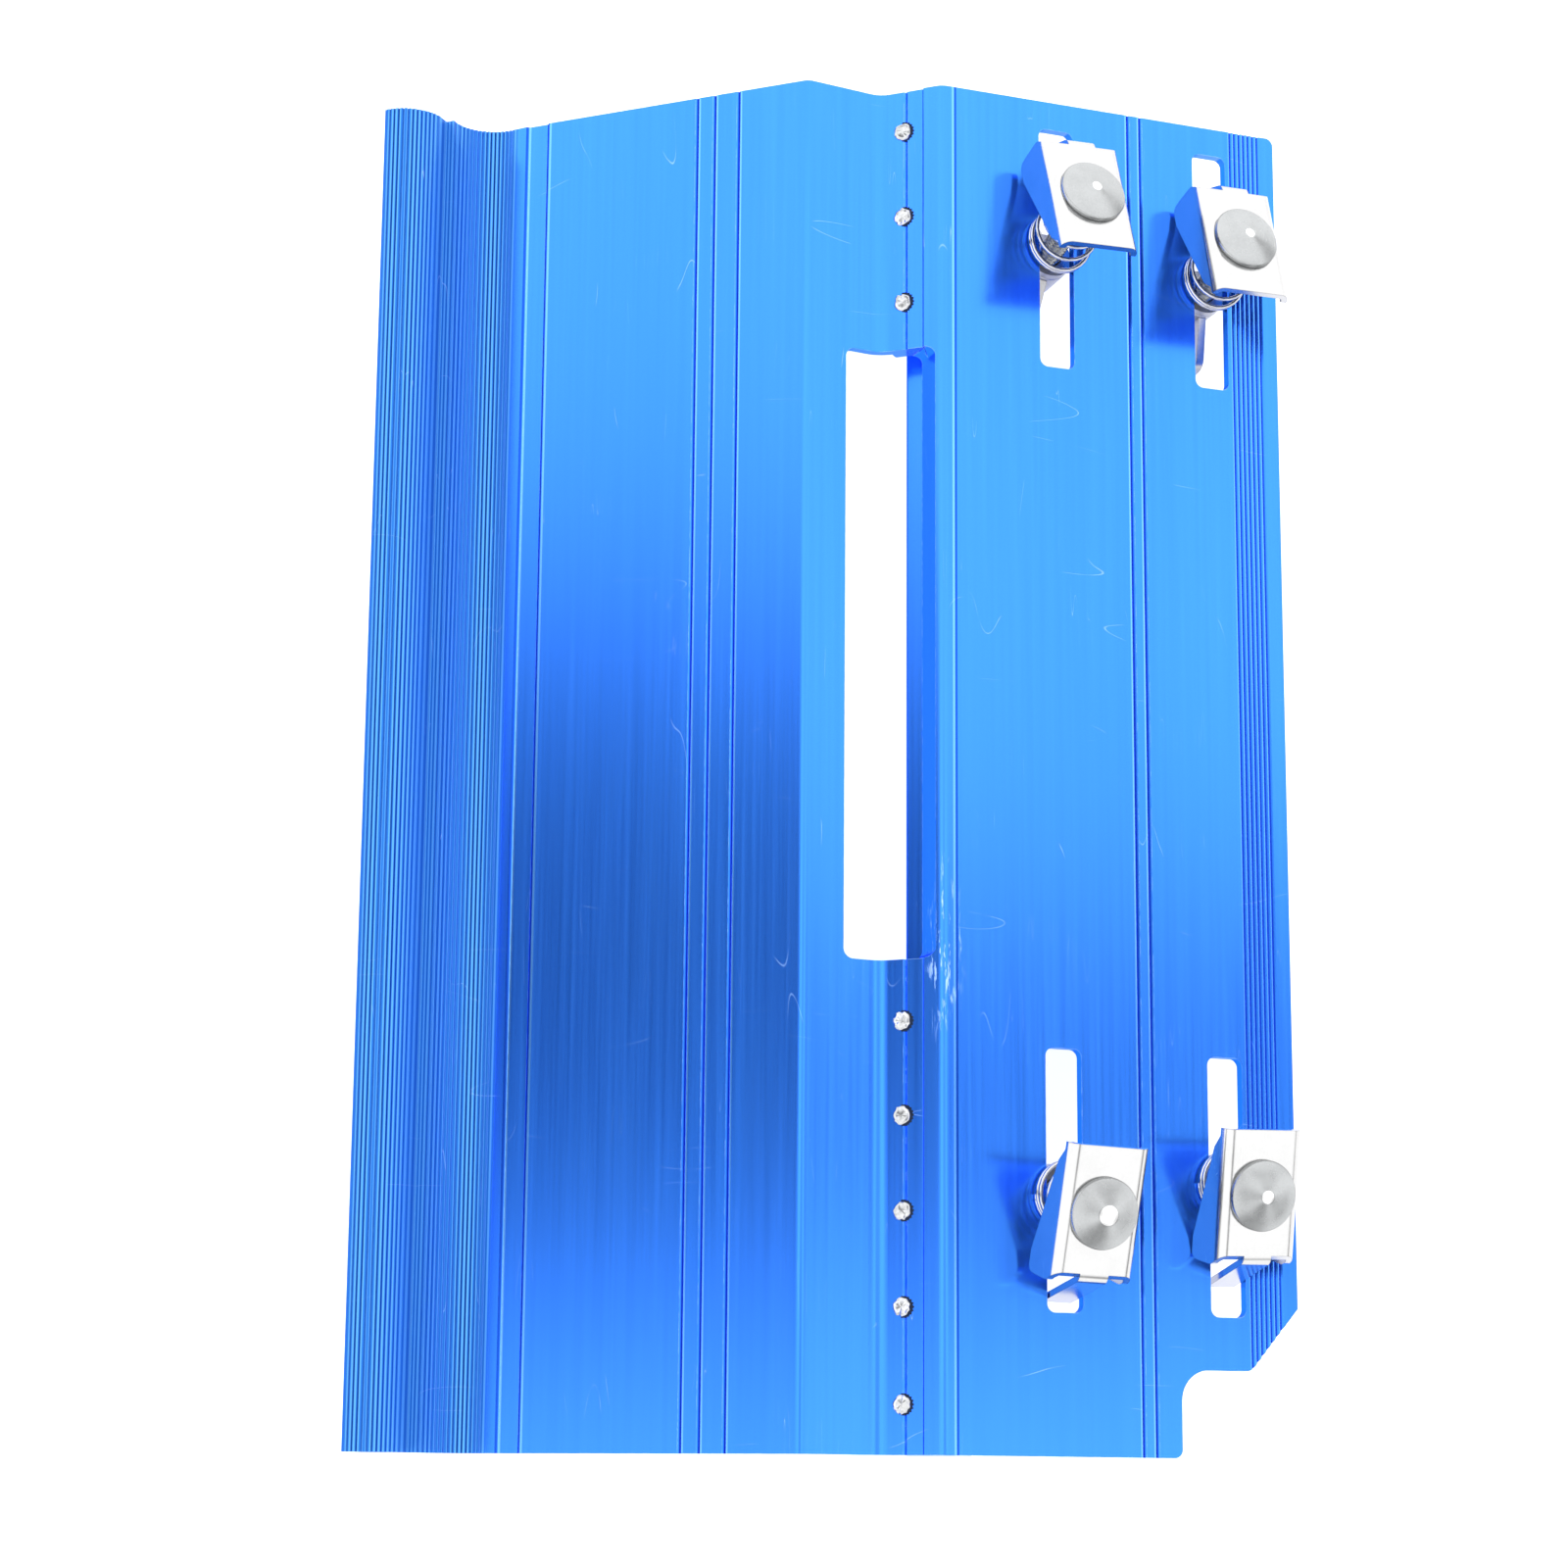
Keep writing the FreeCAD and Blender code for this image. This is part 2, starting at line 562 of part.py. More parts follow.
def spring_path(clamp):
    """Helix that lies flat on the deck and leans over with the bolt towards its top coil."""
    wire = dim("spring_wire")
    lean = clamp[4]
    turns = dim("spring_turns")
    closed = dim("spring_closed")
    upright = FreeCAD.Rotation(V(1, 0, 0), lean)
    low = upright.multVec(V(0, 0, WALL / 2.0 + wire / 2.0 + dim("spring_gap")))
    high = V(0, 0, clamp[3] - dim("clamp_sheet") - wire / 2.0 - dim("spring_gap"))
    points = []
    per_turn = 16
    for index in range(int(turns * per_turn) + 1):
        run = index / per_turn
        open_run = min(max((run - closed) / (turns - closed - 0.7), 0.0), 1.0)
        blend = open_run * open_run * (3.0 - 2.0 * open_run)
        stack = min(run, closed) * (wire + 0.02)
        rest = upright.multVec(V(0, 0, stack))
        centre = (low + rest) * (1.0 - open_run) + high * open_run
        radius = (dim("spring_base") * (1.0 - blend) + dim("spring_top") * blend) / 2.0
        angle = 2.0 * math.pi * run
        ring = V(radius * math.cos(angle), radius * math.sin(angle), 0)
        plane = FreeCAD.Rotation(V(1, 0, 0), lean * (1.0 - blend))
        points.append(centre + plane.multVec(ring))
    return points


def make_clamp_spring(clamp):
    """Compression spring: two closed coils on the deck, then open coils up to the plate."""
    curve = Part.BSplineCurve()
    points = spring_path(clamp)
    curve.interpolate(points)
    start = curve.value(curve.FirstParameter)
    heading = curve.tangent(curve.FirstParameter)[0]
    ring = Part.Wire(Part.makeCircle(dim("spring_wire") / 2.0, start, heading))
    spine = Part.Wire(curve.toShape())
    feature = doc.addObject("Part::Feature", "clamp_spring_" + clamp[0])
    feature.Label = "clamp_spring_" + clamp[0]
    feature.Shape = Part.Solid(spine.makePipeShell([ring], True, False))
    feature.Placement = clamp_frame(clamp)
    PARTS.append(feature)


def make_washer(clamp):
    """Plain washer under the deck."""
    top = -dim("washer_drop")
    body = new_body("washer_" + clamp[0], clamp_frame(clamp) * lifted(top))
    disc = new_sketch(body, "disc", "XY_Plane", [Part.Circle(V(), V(0, 0, 1), 1.0)])
    bind_circles(disc, "washer_outer")
    pad(body, "sheet", disc, cell("washer_sheet"), reverse=True)
    hole = new_sketch(body, "hole", "XY_Plane", [Part.Circle(V(), V(0, 0, 1), 1.0)])
    bind_circles(hole, "washer_inner")
    pocket(body, "bore", hole)


def make_wing_nut(clamp):
    """Wing nut: tapered hub and two wings that rise away from the washer."""
    top = -dim("washer_drop") - dim("washer_sheet") - dim("nut_gap")
    spin = FreeCAD.Placement(V(0, 0, top), FreeCAD.Rotation(V(0, 0, 1), clamp[6]))
    body = new_body("wing_nut_" + clamp[0], clamp_frame(clamp) * spin)
    hub = dim("nut_hub") / 2.0
    crown = dim("nut_crown") / 2.0
    tall = dim("nut_height")
    revolve(body, "hub", [(0, 0, 0), (hub, 0, 0.5), (crown, -tall, 0.8), (0, -tall, 0)])
    reach = dim("nut_span") / 2.0
    deep = dim("nut_depth")
    wings = []
    for side in (1.0, -1.0):
        wings += rounded_outline([
            (side * 3.6, -0.8, 0), (side * (hub - 0.5), -0.8, 1.0), (side * reach, -deep * 0.46, 4.0),
            (side * (reach - 1.0), -deep, 3.2), (side * (reach - 6.5), -deep * 0.9, 2.5),
            (side * 3.6, -tall + 0.6, 0),
        ])
    sketch = new_sketch(body, "wing_shape", "XZ_Plane", wings)
    pad(body, "wings", sketch, cell("nut_wing"), middle=True)
    bore = new_sketch(body, "bore_circle", "XY_Plane", [Part.Circle(V(), V(0, 0, 1), 1.0)])
    bind_circles(bore, "nut_bore")
    pocket(body, "bore", bore)


make_sole_plate()
make_deck_plate()
make_rivets()
for each_clamp in CLAMPS:
    make_clamp_plate(each_clamp)
    make_clamp_bolt(each_clamp)
    make_clamp_spring(each_clamp)
    make_washer(each_clamp)
    make_wing_nut(each_clamp)
doc.recompute()

# ---------------------------------------------------------------- checks and files

for item in doc.Objects:
    if "Invalid" in item.State or "Error" in item.State:
        raise RuntimeError("%s failed: %s" % (item.Name, item.State))

os.makedirs("parts", exist_ok=True)
for item in PARTS:
    shape = item.Shape
    if shape.isNull() or not shape.isValid():
        raise RuntimeError(item.Label + " has no valid shape")
    shape.exportStep("parts/%s.step" % item.Label)
    box = shape.BoundBox
    print("%-24s solids %d volume %9.1f  x %.1f %.1f  y %.1f %.1f  z %.1f %.1f" % (
        item.Label, len(shape.Solids), shape.Volume,
        box.XMin, box.XMax, box.YMin, box.YMax, box.ZMin, box.ZMax))
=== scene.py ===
import json
import math
import random

import bpy
from mathutils import Euler, Matrix, Vector


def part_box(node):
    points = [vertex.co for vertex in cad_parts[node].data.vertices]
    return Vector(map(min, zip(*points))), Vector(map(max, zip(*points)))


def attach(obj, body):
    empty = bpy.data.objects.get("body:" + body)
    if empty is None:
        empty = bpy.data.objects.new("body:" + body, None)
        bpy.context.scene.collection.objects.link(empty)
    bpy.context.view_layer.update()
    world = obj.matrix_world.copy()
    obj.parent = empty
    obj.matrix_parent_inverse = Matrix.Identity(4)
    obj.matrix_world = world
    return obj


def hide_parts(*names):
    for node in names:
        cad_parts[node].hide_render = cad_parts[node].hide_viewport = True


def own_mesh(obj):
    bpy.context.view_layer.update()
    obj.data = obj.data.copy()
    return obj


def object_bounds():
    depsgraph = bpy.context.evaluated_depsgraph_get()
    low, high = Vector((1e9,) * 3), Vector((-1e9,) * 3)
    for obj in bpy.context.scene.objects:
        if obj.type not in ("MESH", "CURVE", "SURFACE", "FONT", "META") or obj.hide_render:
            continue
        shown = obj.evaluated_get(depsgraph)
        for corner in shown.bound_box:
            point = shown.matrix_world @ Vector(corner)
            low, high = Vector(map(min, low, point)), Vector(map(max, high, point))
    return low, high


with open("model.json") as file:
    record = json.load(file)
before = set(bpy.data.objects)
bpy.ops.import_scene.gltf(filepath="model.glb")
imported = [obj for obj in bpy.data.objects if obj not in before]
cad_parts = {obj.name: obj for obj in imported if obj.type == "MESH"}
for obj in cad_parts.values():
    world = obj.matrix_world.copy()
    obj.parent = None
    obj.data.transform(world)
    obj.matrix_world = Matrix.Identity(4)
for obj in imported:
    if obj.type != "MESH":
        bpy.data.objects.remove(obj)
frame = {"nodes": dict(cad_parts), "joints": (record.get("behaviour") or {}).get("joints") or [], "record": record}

CAD_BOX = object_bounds()
random.seed(17)
MM = 0.001

# ---------------------------------------------------------------- places, from the frame
JOINTS = {joint["name"]: joint for joint in frame["joints"]}
CLAMP_NAMES = ("far_inner", "far_outer", "near_inner", "near_outer")
SLOPE = math.radians(22.5)
DECK_DOWN = Vector((math.cos(SLOPE), 0, -math.sin(SLOPE)))
DECK_OUT = Vector((math.sin(SLOPE), 0, math.cos(SLOPE)))
STRIP_UP = Vector((math.cos(SLOPE), 0, math.sin(SLOPE)))
STRIP_OUT = Vector((-math.sin(SLOPE), 0, math.cos(SLOPE)))
ALONG = Vector((0, 1, 0))
HALF_WALL = 1.2 * MM
# Where the ribbed bands end, in X: the grip's on the sole and the outer band on the deck.
GRIP_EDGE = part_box("sole_plate")[0][0] + 31.6 * MM
RIB_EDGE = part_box("deck_plate")[1][0] - 13.0 * MM


def span(node, direction):
    """Lowest and highest reach of a CAD node along a direction."""
    reaches = [vertex.co.dot(direction) for vertex in frame["nodes"][node].data.vertices]
    return min(reaches), max(reaches)


# ---------------------------------------------------------------- mesh helpers

def circle_angles(sides):
    return [2.0 * math.pi * side / sides for side in range(sides)]


def mesh_object(name, verts, faces, smooth=True):
    mesh = bpy.data.meshes.new(name)
    mesh.from_pydata([tuple(v) for v in verts], [], faces)
    mesh.update()
    if smooth:
        mesh.polygons.foreach_set("use_smooth", [True] * len(mesh.polygons))
    piece = bpy.data.objects.new(name, mesh)
    bpy.context.scene.collection.objects.link(piece)
    return piece


def lathe_grid(rings, sides):
    """Faces of a grid of rings, closed round and with both ends capped."""
    faces = []
    for ring in range(rings - 1):
        for side in range(sides):
            after = (side + 1) % sides
            low = ring * sides
            high = low + sides
            faces.append((low + side, low + after, high + after, high + side))
    faces.append(tuple(range(sides - 1, -1, -1)))
    faces.append(tuple(range((rings - 1) * sides, rings * sides)))
    return faces


def tube(name, points, radius, sides=12):
    """Round wire that follows points, with its frame carried along the path."""
    verts = []
    tangent = (points[1] - points[0]).normalized()
    side = tangent.orthogonal().normalized()
    for index, point in enumerate(points):
        ahead = points[min(index + 1, len(points) - 1)]
        behind = points[max(index - 1, 0)]
        tangent = (ahead - behind).normalized()
        side = (side - tangent * side.dot(tangent)).normalized()
        other = tangent.cross(side)
        for angle in circle_angles(sides):
            verts.append(point + (side * math.cos(angle) + other * math.sin(angle)) * radius)
    return mesh_object(name, verts, lathe_grid(len(points), sides))


# ---------------------------------------------------------------- node helpers

class Nodes:
    """Short helpers for the nodes of a material or a world."""

    def __init__(self, tree):
        self.tree = tree

    def add(self, kind, **settings):
        node = self.tree.nodes.new(kind)
        for key, value in settings.items():
            setattr(node, key, value)
        return node

    def link(self, source, target):
        self.tree.links.new(source, target)

    def feed(self, socket, value):
        if isinstance(value, bpy.types.NodeSocket):
            self.link(value, socket)
        else:
            socket.default_value = value

    def ramp(self, value, low, high, out_low=0.0, out_high=1.0, curve="LINEAR"):
        node = self.add("ShaderNodeMapRange", clamp=True, interpolation_type=curve)
        self.feed(node.inputs["Value"], value)
        node.inputs["From Min"].default_value = low
        node.inputs["From Max"].default_value = high
        node.inputs["To Min"].default_value = out_low
        node.inputs["To Max"].default_value = out_high
        return node.outputs["Result"]

    def maths(self, operation, first, second=0.0):
        node = self.add("ShaderNodeMath", operation=operation)
        self.feed(node.inputs[0], first)
        self.feed(node.inputs[1], second)
        return node.outputs[0]

    def plus(self, first, second):
        return self.maths("ADD", first, second)

    def minus(self, first, second):
        return self.maths("SUBTRACT", first, second)

    def times(self, first, second):
        return self.maths("MULTIPLY", first, second)

    def size(self, value):
        return self.maths("ABSOLUTE", value)

    def highest(self, values):
        top = values[0]
        for value in values[1:]:
            top = self.maths("MAXIMUM", top, value)
        return top

    def mix(self, factor, first, second):
        node = self.add("ShaderNodeMix", data_type="RGBA")
        self.feed(node.inputs["Factor"], factor)
        self.feed(node.inputs[6], first)
        self.feed(node.inputs[7], second)
        return node.outputs[2]

    def dot(self, first, second):
        node = self.add("ShaderNodeVectorMath", operation="DOT_PRODUCT")
        self.feed(node.inputs[0], first)
        self.feed(node.inputs[1], second)
        return node.outputs["Value"]

    def ellipsoid(self, place, centre, reach):
        """Nothing at a centre and one at its reach, along each axis."""
        node = self.add("ShaderNodeMapping")
        self.link(place, node.inputs["Vector"])
        node.inputs["Location"].default_value = [-c / r for c, r in zip(centre, reach)]
        node.inputs["Scale"].default_value = [1.0 / r for r in reach]
        length = self.add("ShaderNodeVectorMath", operation="LENGTH")
        self.link(node.outputs["Vector"], length.inputs[0])
        return length.outputs["Value"]


SOFT_START = 0.35        # share of an ellipsoid's reach where its effect starts to fade
EDGE_THRESHOLD = 0.985   # cosine between true and rounded normals, above which a face is plain
EDGE_FADE = 0.12


class Shader(Nodes):
    """A node material on the piece's own coordinates."""

    def __init__(self, name):
        self.material = bpy.data.materials.new(name)
        self.material.use_nodes = True
        super().__init__(self.material.node_tree)
        self.surface = self.tree.nodes["Principled BSDF"]
        self.place = self.add("ShaderNodeTexCoord").outputs["Object"]

    def noise(self, scale, detail=3.0, stretch=(1, 1, 1), turn=(0, 0, 0), rough=0.5):
        place = self.add("ShaderNodeMapping")
        self.link(self.place, place.inputs["Vector"])
        place.inputs["Scale"].default_value = stretch
        place.inputs["Rotation"].default_value = turn
        node = self.add("ShaderNodeTexNoise")
        self.link(place.outputs["Vector"], node.inputs["Vector"])
        node.inputs["Scale"].default_value = scale
        node.inputs["Detail"].default_value = detail
        node.inputs["Roughness"].default_value = rough
        return node.outputs["Fac"]

    def scratches(self, scale, stretch, turn, width, share):
        """Thin marks where a stretched noise crosses its middle, kept on a share of the surface."""
        away = self.size(self.minus(self.noise(scale, 1.0, stretch, turn), 0.5))
        line = self.ramp(away, 0.0, width, 1.0, 0.0)
        cover = self.ramp(self.noise(60.0, 2.0, turn=turn), 1.0 - share, 1.0 - share + 0.06)
        return self.times(line, cover)

    def edges(self, radius):
        """Outer edges: where a rounded normal leaves the true one; worn pale on the anodised faces and painted
        shade on the plated ones.
        """
        bevel = self.add("ShaderNodeBevel", samples=4)
        bevel.inputs["Radius"].default_value = radius
        geometry = self.add("ShaderNodeNewGeometry")
        dot = self.dot(bevel.outputs["Normal"], geometry.outputs["Normal"])
        return self.ramp(dot, EDGE_THRESHOLD - EDGE_FADE, EDGE_THRESHOLD, 1.0, 0.0)

    def bump(self, height, strength, distance):
        node = self.add("ShaderNodeBump")
        node.inputs["Strength"].default_value = strength
        node.inputs["Distance"].default_value = distance
        self.feed(node.inputs["Height"], height)
        self.link(node.outputs["Normal"], self.surface.inputs["Normal"])

    def near(self, centre, reach):
        """One at a place and nothing beyond its reach, an ellipsoid along the axes."""
        return self.ramp(self.ellipsoid(self.place, centre, reach), SOFT_START, 1.0, 1.0, 0.0)


# ---------------------------------------------------------------- anodised extrusions

BLUE_DEEP = (0.036, 0.208, 0.95, 1)
BLUE_LIGHT = (0.044, 0.238, 1.0, 1)
RIB_PAINTED_SHADE = (0.014, 0.110, 0.38, 1)
RIB_PAINTED_HIGHLIGHT = (0.095, 0.330, 0.66, 1)
GROOVE_PAINTED_HIGHLIGHT = (0.17, 0.46, 1.0, 1)
GROOVE_PAINTED_SHADE = (0.004, 0.045, 0.42, 1)
WORN_PALE = (0.36, 0.55, 0.92, 1)
SAWN_PALE = (0.30, 0.48, 0.85, 1)
GRAZING_BLUE = (0.10, 0.36, 0.95, 1)

RIB_PITCH = 0.92 * MM    # of the grip's rib lines
DRAWN = (1.0, 0.012, 1.0)    # noise stretched along the extrusion

# Marking lines along the extrusions, in mm: from the strip's free edge for the sole, and from
# the deck's outer edge for the deck and for its ribbed band.
SOLE_LINES = (-41.1, -47.4, -52.0, -92.3, -98.2)
DECK_LINES = (-85.6, -39.8, -36.5)
RIB_LINES = [-11.75 + 1.25 * index for index in range(7)]
# Each line's painted shade in its bottom and painted highlight on its lip: shift across the line and half width.
LINE_BANDS = ((0.0, 0.33 * MM), (0.62 * MM, 0.34 * MM))
RIB_BAND_SHARE = 0.8     # the ribs' bands against the marking lines'
# Handling scratches: scale, stretch, turn about Z and share of the surface.
SCRATCHES = (
    (15.0, (5.0, 1.0, 5.0), 0.35, 0.385),
    (12.0, (1.0, 6.0, 1.0), -0.5, 0.395),
    (30.0, (12.0, 0.5, 12.0), 0.03, 0.395),
)
SCRATCH_WIDTH = 0.0016   # in the noise's own values
SCUFF_OFFSET = 9.0 * MM
SCUFF_REACH = (6.0 * MM, 24.0 * MM, 14.0 * MM)


def slot_near_end():
    """Beside the blade slot's near end, on the deck, where the saw has scuffed it."""
    slot = frame["record"]["physics"]["openings"][0]["box_m"]
    return Vector((slot[1][0] + SCUFF_OFFSET, slot[0][1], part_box("deck_plate")[1][2]))


def long_lines(shader, reach, places, shift, half):
    """Lines along the extrusion, each centred a shift from its place."""
    lines = []
    for place in places:
        away = shader.size(shader.minus(reach, place + shift))
        lines.append(shader.ramp(away, half * 0.5, half, 1.0, 0.0))
    return shader.highest(lines)


def groove_shade_and_highlight_masks(shader, upward):
    """Painted shade in the bottoms and painted highlight on the lips of the marking grooves, on the upper faces.
    """
    sole_edge = span("sole_plate", STRIP_UP)[1]
    deck_edge = span("deck_plate", DECK_DOWN)[1]
    sole_places = [sole_edge + line * MM for line in SOLE_LINES]
    deck_places = [deck_edge + line * MM for line in DECK_LINES]
    rib_places = [deck_edge + line * MM for line in RIB_LINES]
    sole_reach = shader.dot(shader.place, STRIP_UP)
    deck_reach = shader.dot(shader.place, DECK_DOWN)
    on_sole = shader.ramp(sole_reach, sole_edge - 24.0 * MM, sole_edge - 23.0 * MM, 1.0, 0.0)
    on_deck = shader.ramp(deck_reach, deck_edge - 88.5 * MM, deck_edge - 88.0 * MM)
    masks = []
    for shift, half in LINE_BANDS:
        sole = shader.times(long_lines(shader, sole_reach, sole_places, shift, half), on_sole)
        deck = shader.times(long_lines(shader, deck_reach, deck_places, -shift, half), on_deck)
        ribs = long_lines(shader, deck_reach, rib_places, -RIB_BAND_SHARE * shift,
                          RIB_BAND_SHARE * half)
        deck = shader.highest([deck, shader.times(ribs, 0.85)])
        masks.append(shader.times(shader.highest([sole, deck]), upward))
    return masks


def worn_mask(shader, plain):
    """Fine scratches, pale sawn edges and the scuffed patch beside the blade slot."""
    marks = shader.highest([
        shader.scratches(scale, stretch, (0, 0, turn), SCRATCH_WIDTH, share)
        for scale, stretch, turn, share in SCRATCHES
    ])
    scuffs = shader.noise(1300.0, 3.0, (1.0, 0.12, 1.0), (0, 0, 0.15), 0.7)
    scuff = shader.times(shader.ramp(scuffs, 0.56, 0.66), shader.near(slot_near_end(), SCUFF_REACH))
    edge = shader.times(shader.edges(0.3 * MM), plain)
    edge = shader.times(edge, shader.ramp(shader.noise(380.0, 3.0), 0.34, 0.60))
    edge = shader.times(edge, 0.7)
    return shader.highest([shader.times(marks, 0.5), shader.highest([edge, scuff])])


def anodised_material():
    """Blue anodised extrusion: drawn lines, handling scratches, pale worn edges and sawn ends, with painted shade
    and highlight along the grooves and the grip's ribs.
    """
    shader = Shader("anodised_blue")
    surface = shader.surface
    broad = shader.noise(9.0, 2.0, (1.0, 0.35, 1.0))
    lines = shader.noise(700.0, 3.0, DRAWN, rough=0.65)
    fine = shader.noise(2600.0, 2.0, DRAWN, rough=0.7)

    # Where: upper faces, sawn ends, the grip and the plain faces between the ribbed bands.
    normal = shader.add("ShaderNodeSeparateXYZ")
    shader.link(shader.add("ShaderNodeNewGeometry").outputs["True Normal"], normal.inputs[0])
    upward = shader.ramp(normal.outputs["Z"], 0.05, 0.15)
    sawn = shader.ramp(shader.size(normal.outputs["Y"]), 0.90, 0.97)
    place = shader.add("ShaderNodeSeparateXYZ")
    shader.link(shader.place, place.inputs[0])
    across = place.outputs["X"]
    on_grip = shader.ramp(across, GRIP_EDGE - 1.0 * MM, GRIP_EDGE, 1.0, 0.0)
    on_ribs = shader.ramp(across, RIB_EDGE, RIB_EDGE + 1.0 * MM)
    plain = shader.minus(1.0, shader.highest([on_grip, on_ribs]))
    off_grip = shader.minus(1.0, on_grip)
    grip_upper = shader.times(on_grip, upward)
    groove_painted_shade, groove_painted_highlight = [shader.times(mask, off_grip) for mask in groove_shade_and_highlight_masks(shader, upward)]
    worn = shader.times(worn_mask(shader, plain), shader.minus(1.0, groove_painted_shade))

    # Colour.
    tone = shader.plus(shader.times(lines, 0.45), shader.times(broad, 0.55))
    blue = shader.mix(shader.ramp(tone, 0.38, 0.62), BLUE_DEEP, BLUE_LIGHT)
    # Painted shade and painted highlight across the grip's ribs, one pair per rib pitch.
    wave = shader.maths("SINE", shader.times(across, 2.0 * math.pi / RIB_PITCH))
    rib_painted_light = shader.mix(shader.ramp(wave, -0.5, 0.6), RIB_PAINTED_SHADE, RIB_PAINTED_HIGHLIGHT)
    blue = shader.mix(shader.times(grip_upper, 0.85), blue, rib_painted_light)
    # Painted highlight on each groove's lip, then painted shade in its bottom.
    blue = shader.mix(shader.times(groove_painted_highlight, 0.7), blue, GROOVE_PAINTED_HIGHLIGHT)
    blue = shader.mix(shader.times(groove_painted_shade, 0.85), blue, GROOVE_PAINTED_SHADE)
    colour = shader.mix(worn, blue, WORN_PALE)
    colour = shader.mix(shader.times(sawn, 0.7), colour, SAWN_PALE)
    shader.link(colour, surface.inputs["Base Color"])

    # Gloss and relief.
    shader.link(shader.ramp(grip_upper, 0.0, 1.0, 0.85, 0.40), surface.inputs["Metallic"])
    surface.inputs["Specular Tint"].default_value = GRAZING_BLUE
    rough = shader.plus(shader.ramp(lines, 0.3, 0.7, 0.165, 0.20), shader.times(worn, 0.15))
    rough = shader.plus(rough, shader.times(grip_upper, 0.20))
    shader.link(rough, surface.inputs["Roughness"])
    height = shader.plus(shader.times(lines, 0.6), shader.times(fine, 0.4))
    shader.bump(shader.minus(height, shader.times(worn, 0.5)), 0.06, 0.03 * MM)
    return shader.material


# ---------------------------------------------------------------- plated metals

SCRATCH_BRIGHT = (0.93, 0.94, 0.95, 1)


def plated_steel_material(name, tint, rough_low, rough_high, cloud=0.06, relief=0.10):
    """Bright plate over metal: faint mottle, rolling lines, fine scratches and painted shade along the edges."""
    shader = Shader(name)
    surface = shader.surface
    mottle = shader.noise(150.0, 4.0, rough=0.6)
    grain = shader.noise(1900.0, 2.0)
    rolled = shader.noise(1800.0, 2.0, (1.0, 0.06, 1.0), (0, 0, 0.3), 0.6)
    marks = shader.scratches(120.0, (8.0, 1.0, 1.0), (0.3, 0.2, 0.9), 0.005, 0.40)

    dark = tuple((1.0 - cloud) * part for part in tint) + (1,)
    tone = shader.plus(shader.times(mottle, 0.7), shader.times(grain, 0.3))
    colour = shader.mix(shader.ramp(tone, 0.38, 0.62), dark, tuple(tint) + (1,))
    colour = shader.mix(shader.times(marks, 0.3), colour, SCRATCH_BRIGHT)
    # Painted shade along the plate's outer edges.
    edge = shader.times(shader.edges(0.40 * MM), 0.8)
    colour = shader.mix(edge, colour, tuple(0.35 * part for part in tint) + (1,))
    shader.link(colour, surface.inputs["Base Color"])

    surface.inputs["Metallic"].default_value = 1.0
    rough = shader.ramp(mottle, 0.3, 0.7, rough_low, rough_high)
    shader.link(shader.plus(rough, shader.times(marks, 0.1)), surface.inputs["Roughness"])
    height = shader.plus(shader.times(mottle, 0.5), shader.times(rolled, 0.3))
    shader.bump(height, relief, 0.04 * MM)
    return shader.material


ANODISED = anodised_material()
PLATED = plated_steel_material("plated_steel", (0.50, 0.50, 0.50), 0.16, 0.22)
# A darker copy of the plated steel paints shade on the bolt heads; a lighter copy paints a highlight on their flat
# tops.
PLATED_HEAD_PAINTED_SHADE = plated_steel_material("plated_head_painted_shade", (0.37, 0.38, 0.385), 0.24, 0.30, 0.12)
TIP_PAINTED_HIGHLIGHT = plated_steel_material("tip_painted_highlight", (0.70, 0.70, 0.70), 0.20, 0.26)
PLATED_DULL = plated_steel_material("plated_dull", (0.42, 0.42, 0.43), 0.24, 0.38, 0.20, 0.20)
SPRING_STEEL = plated_steel_material("spring_steel", (0.46, 0.46, 0.47), 0.10, 0.18)
PEENED = plated_steel_material("peened_aluminium", (0.56, 0.57, 0.58), 0.16, 0.28, 0.35, 0.30)
SHADE = plated_steel_material("rivet_shade", (0.02, 0.03, 0.06), 0.5, 0.7)


def dress(node, material):
    slots = frame["nodes"][node].data.materials
    slots.clear()
    slots.append(material)


dress("sole_plate", ANODISED)
dress("deck_plate", ANODISED)
for clamp in CLAMP_NAMES:
    dress("clamp_plate_" + clamp, PLATED)
    dress("washer_" + clamp, PLATED_DULL)
    dress("wing_nut_" + clamp, PLATED_DULL)


# ---------------------------------------------------------------- rivets

RIVET_SIDES = 20
PEEN_RISE = 0.35 * MM
RIVET_STEPS = 14
RIVET_PLACES = [index for index in range(RIVET_STEPS + 1) if index < 5 or index > 11]
# Radius, height and unevenness in mm, from the peened end down to the domed factory head.
RIVET_PROFILE = (
    (0.05, 0.30, 0.0), (0.7, 0.30, 0.10), (1.35, 0.22, 0.22), (1.80, 0.30, 0.34),
    (2.05, 0.20, 0.40), (2.15, 0.02, 0.40), (1.62, 0.0, 0.0), (1.62, -4.8, 0.0),
    (3.0, -4.8, 0.0), (2.9, -5.3, 0.0), (2.3, -5.95, 0.0), (1.3, -6.3, 0.0), (0.05, -6.4, 0.0),
)
SHADE_POINTS = 23
SHADE_LIFT = 0.04        # mm over the strip's face


def rivet_centres():
    """Where each rivet's axis meets the strip's face."""
    low, high = span("rivets", STRIP_UP)
    top = span("rivets", STRIP_OUT)[1]
    near, far = span("rivets", ALONG)
    head = (high - low) / 2.0
    pitch = (far - near - 2.0 * head) / RIVET_STEPS
    line = STRIP_UP * (low + head) + STRIP_OUT * (top - PEEN_RISE)
    return [line + ALONG * (near + head + pitch * index) for index in RIVET_PLACES]


